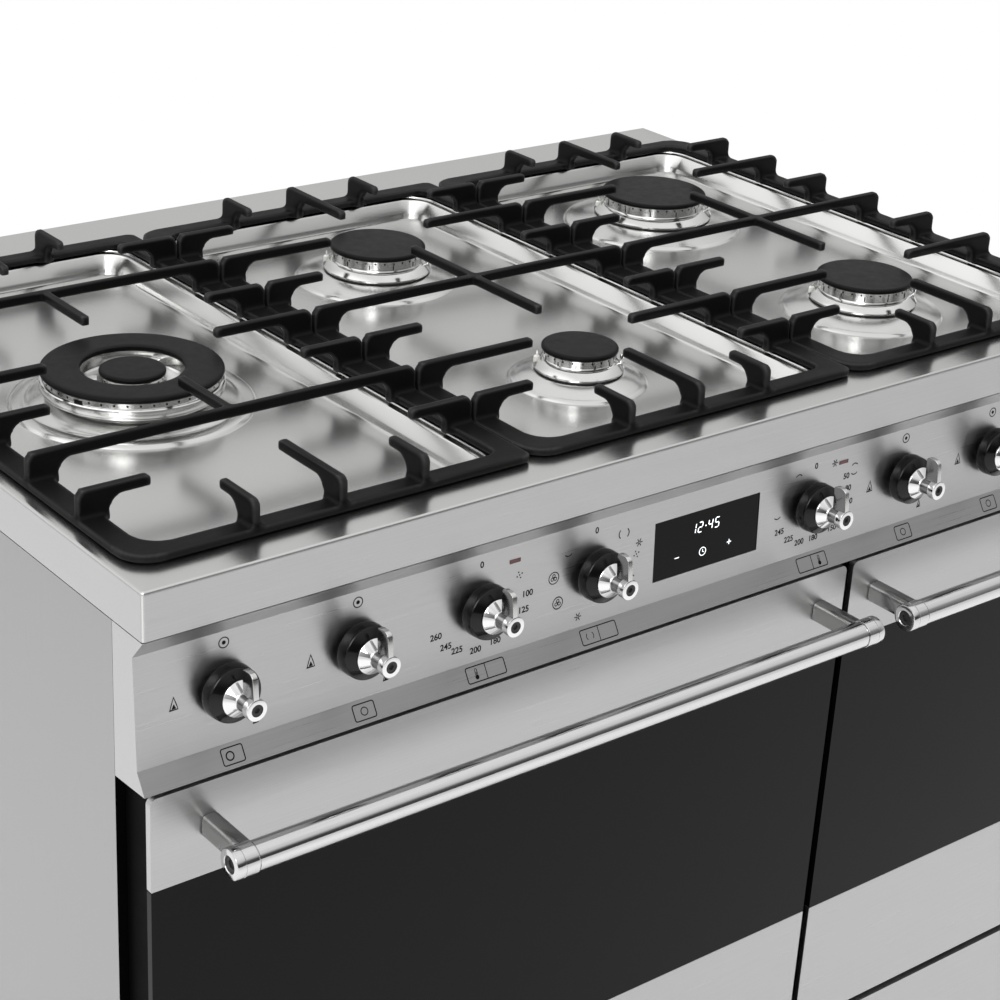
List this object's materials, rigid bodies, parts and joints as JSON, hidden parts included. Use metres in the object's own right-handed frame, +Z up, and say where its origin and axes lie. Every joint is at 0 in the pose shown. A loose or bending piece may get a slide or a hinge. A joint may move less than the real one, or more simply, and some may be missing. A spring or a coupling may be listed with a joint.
{
  "type": "range cooker with double oven",
  "caption": "Free-standing brushed steel range cooker: gas hob with cast-iron pan supports over a wide and a narrow oven with bar handles, lever knobs, a clock and a storage drawer.",
  "frame": {"origin": "on the floor, in the middle of the cooker's overall width and depth, handles and gas inlet included", "axes": "+Z up, -Y towards the cook who stands in front, +X to that person's right along the front"},
  "size_m": [0.9, 0.6672, 0.924],
  "materials": {
    "brushed_steel": "brushed",
    "chrome": "polished",
    "cast_iron": "matt enamel",
    "black_enamel": "satin enamel",
    "oven_enamel": "gloss enamel",
    "black_glass": "polished",
    "burner_aluminium": "machined",
    "galvanised_steel": "galvanised",
    "black_plastic": "gloss",
    "brass": "plain"
  },
  "bodies": {
    "casing": {"side_panel_left": "brushed_steel", "side_panel_right": "brushed_steel", "back_panel": "galvanised_steel", "front_frame": "black_enamel", "base_tray": "galvanised_steel", "foot_front_left": "brushed_steel", "foot_rear_left": "brushed_steel", "foot_front_right": "brushed_steel", "foot_rear_right": "brushed_steel", "hob_top": "brushed_steel", "control_panel": "brushed_steel", "clock_display": "black_glass", "gas_rail": "brass", "oven_switches": "galvanised_steel", "burner_front_centre": "burner_aluminium", "burner_rear_centre": "burner_aluminium", "burner_front_right": "burner_aluminium", "burner_rear_right": "burner_aluminium", "burner_wok": "burner_aluminium", "main_oven_cavity": "oven_enamel", "main_door_hinge": "galvanised_steel", "side_oven_cavity": "oven_enamel", "side_door_hinge": "galvanised_steel"},
    "main_door": {"main_door_top_trim": "brushed_steel", "main_door_glass": "black_glass", "main_door_bottom_trim": "brushed_steel", "main_door_liner": "black_enamel", "main_door_handle": "brushed_steel"},
    "side_door": {"side_door_top_trim": "brushed_steel", "side_door_glass": "black_glass", "side_door_bottom_trim": "brushed_steel", "side_door_liner": "black_enamel", "side_door_handle": "brushed_steel"},
    "main_rack": {"main_oven_rack": "chrome"},
    "side_rack": {"side_oven_rack": "chrome"},
    "fan": {"main_oven_fan": "galvanised_steel"},
    "drawer": {"drawer_front": "brushed_steel", "drawer_box": "galvanised_steel"},
    "support_left": {"pan_support_left": "cast_iron"},
    "support_centre": {"pan_support_centre": "cast_iron"},
    "support_right": {"pan_support_right": "cast_iron"},
    "cap_front_centre": {"burner_cap_front_centre": "black_enamel"},
    "cap_rear_centre": {"burner_cap_rear_centre": "black_enamel"},
    "cap_front_right": {"burner_cap_front_right": "black_enamel"},
    "cap_rear_right": {"burner_cap_rear_right": "black_enamel"},
    "cap_wok_ring": {"burner_cap_wok_ring": "black_enamel"},
    "cap_wok_centre": {"burner_cap_wok_centre": "black_enamel"},
    "collar_gas_left": {"knob_collar_gas_left": "black_plastic"},
    "lever_gas_left": {"knob_lever_gas_left": "chrome"},
    "collar_gas_rear_centre": {"knob_collar_gas_rear_centre": "black_plastic"},
    "lever_gas_rear_centre": {"knob_lever_gas_rear_centre": "chrome"},
    "knob_main_oven_heat": {"knob_main_oven_heat": "chrome"},
    "knob_main_oven_mode": {"knob_main_oven_mode": "chrome"},
    "knob_side_oven": {"knob_side_oven": "chrome"},
    "collar_gas_front_centre": {"knob_collar_gas_front_centre": "black_plastic"},
    "lever_gas_front_centre": {"knob_lever_gas_front_centre": "chrome"},
    "collar_gas_rear_right": {"knob_collar_gas_rear_right": "black_plastic"},
    "lever_gas_rear_right": {"knob_lever_gas_rear_right": "chrome"},
    "collar_gas_front_right": {"knob_collar_gas_front_right": "black_plastic"},
    "lever_gas_front_right": {"knob_lever_gas_front_right": "chrome"}
  },
  "joints": [
    {"name": "main_door_hinge", "type": "hinge", "parent": "casing", "child": "main_door", "pos_m": [-0.154, -0.26635, 0.355], "axis": [1, 0, 0], "range_deg": [0, 90]},
    {"name": "side_door_hinge", "type": "hinge", "parent": "casing", "child": "side_door", "pos_m": [0.2955, -0.26635, 0.355], "axis": [1, 0, 0], "range_deg": [0, 90]},
    {"name": "main_rack_slide", "type": "slide", "parent": "casing", "child": "main_rack", "axis": [0, -1, 0], "range_m": [0, 0.028]},
    {"name": "side_rack_slide", "type": "slide", "parent": "casing", "child": "side_rack", "axis": [0, -1, 0], "range_m": [0, 0.028]},
    {"name": "fan_spin", "type": "hinge", "parent": "casing", "child": "fan", "pos_m": [-0.154, 0.14965, 0.552], "axis": [0, 1, 0], "continuous": true},
    {"name": "drawer_slide", "type": "slide", "parent": "casing", "child": "drawer", "axis": [0, -1, 0], "range_m": [0, 0.34]},
    {"name": "support_left_lift", "type": "slide", "parent": "casing", "child": "support_left", "axis": [0, 0, 1], "range_m": [0, 0.06]},
    {"name": "support_centre_lift", "type": "slide", "parent": "casing", "child": "support_centre", "axis": [0, 0, 1], "range_m": [0, 0.06]},
    {"name": "support_right_lift", "type": "slide", "parent": "casing", "child": "support_right", "axis": [0, 0, 1], "range_m": [0, 0.06]},
    {"name": "cap_front_centre_lift", "type": "slide", "parent": "casing", "child": "cap_front_centre", "axis": [0, 0, 1], "range_m": [0, 0.03]},
    {"name": "cap_rear_centre_lift", "type": "slide", "parent": "casing", "child": "cap_rear_centre", "axis": [0, 0, 1], "range_m": [0, 0.03]},
    {"name": "cap_front_right_lift", "type": "slide", "parent": "casing", "child": "cap_front_right", "axis": [0, 0, 1], "range_m": [0, 0.03]},
    {"name": "cap_rear_right_lift", "type": "slide", "parent": "casing", "child": "cap_rear_right", "axis": [0, 0, 1], "range_m": [0, 0.03]},
    {"name": "cap_wok_ring_lift", "type": "slide", "parent": "casing", "child": "cap_wok_ring", "axis": [0, 0, 1], "range_m": [0, 0.03]},
    {"name": "cap_wok_centre_lift", "type": "slide", "parent": "casing", "child": "cap_wok_centre", "axis": [0, 0, 1], "range_m": [0, 0.03]},
    {"name": "gas_left_push", "type": "slide", "parent": "casing", "child": "collar_gas_left", "axis": [0, 0.9989, -0.0469], "range_m": [0, 0.003], "stiffness_N_per_m": 1500, "springref_m": -0.001},
    {"name": "gas_left_turn", "type": "hinge", "parent": "collar_gas_left", "child": "lever_gas_left", "pos_m": [-0.389, -0.27011, 0.816], "axis": [0, -0.9989, 0.0469], "range_deg": [0, 225]},
    {"name": "gas_rear_centre_push", "type": "slide", "parent": "casing", "child": "collar_gas_rear_centre", "axis": [0, 0.9989, -0.0469], "range_m": [0, 0.003], "stiffness_N_per_m": 1500, "springref_m": -0.001},
    {"name": "gas_rear_centre_turn", "type": "hinge", "parent": "collar_gas_rear_centre", "child": "lever_gas_rear_centre", "pos_m": [-0.293, -0.27011, 0.816], "axis": [0, -0.9989, 0.0469], "range_deg": [0, 225]},
    {"name": "main_oven_heat_turn", "type": "hinge", "parent": "casing", "child": "knob_main_oven_heat", "pos_m": [-0.197, -0.27011, 0.816], "axis": [0, -0.9989, 0.0469], "range_deg": [-250, 0]},
    {"name": "main_oven_mode_turn", "type": "hinge", "parent": "casing", "child": "knob_main_oven_mode", "pos_m": [-0.101, -0.27011, 0.816], "axis": [0, -0.9989, 0.0469], "range_deg": [-315, 0]},
    {"name": "side_oven_turn", "type": "hinge", "parent": "casing", "child": "knob_side_oven", "pos_m": [0.101, -0.27011, 0.816], "axis": [0, -0.9989, 0.0469], "range_deg": [-280, 0]},
    {"name": "gas_front_centre_push", "type": "slide", "parent": "casing", "child": "collar_gas_front_centre", "axis": [0, 0.9989, -0.0469], "range_m": [0, 0.003], "stiffness_N_per_m": 1500, "springref_m": -0.001},
    {"name": "gas_front_centre_turn", "type": "hinge", "parent": "collar_gas_front_centre", "child": "lever_gas_front_centre", "pos_m": [0.197, -0.27011, 0.816], "axis": [0, -0.9989, 0.0469], "range_deg": [0, 225]},
    {"name": "gas_rear_right_push", "type": "slide", "parent": "casing", "child": "collar_gas_rear_right", "axis": [0, 0.9989, -0.0469], "range_m": [0, 0.003], "stiffness_N_per_m": 1500, "springref_m": -0.001},
    {"name": "gas_rear_right_turn", "type": "hinge", "parent": "collar_gas_rear_right", "child": "lever_gas_rear_right", "pos_m": [0.293, -0.27011, 0.816], "axis": [0, -0.9989, 0.0469], "range_deg": [0, 225]},
    {"name": "gas_front_right_push", "type": "slide", "parent": "casing", "child": "collar_gas_front_right", "axis": [0, 0.9989, -0.0469], "range_m": [0, 0.003], "stiffness_N_per_m": 1500, "springref_m": -0.001},
    {"name": "gas_front_right_turn", "type": "hinge", "parent": "collar_gas_front_right", "child": "lever_gas_front_right", "pos_m": [0.389, -0.27011, 0.816], "axis": [0, -0.9989, 0.0469], "range_deg": [0, 225]}
  ]
}
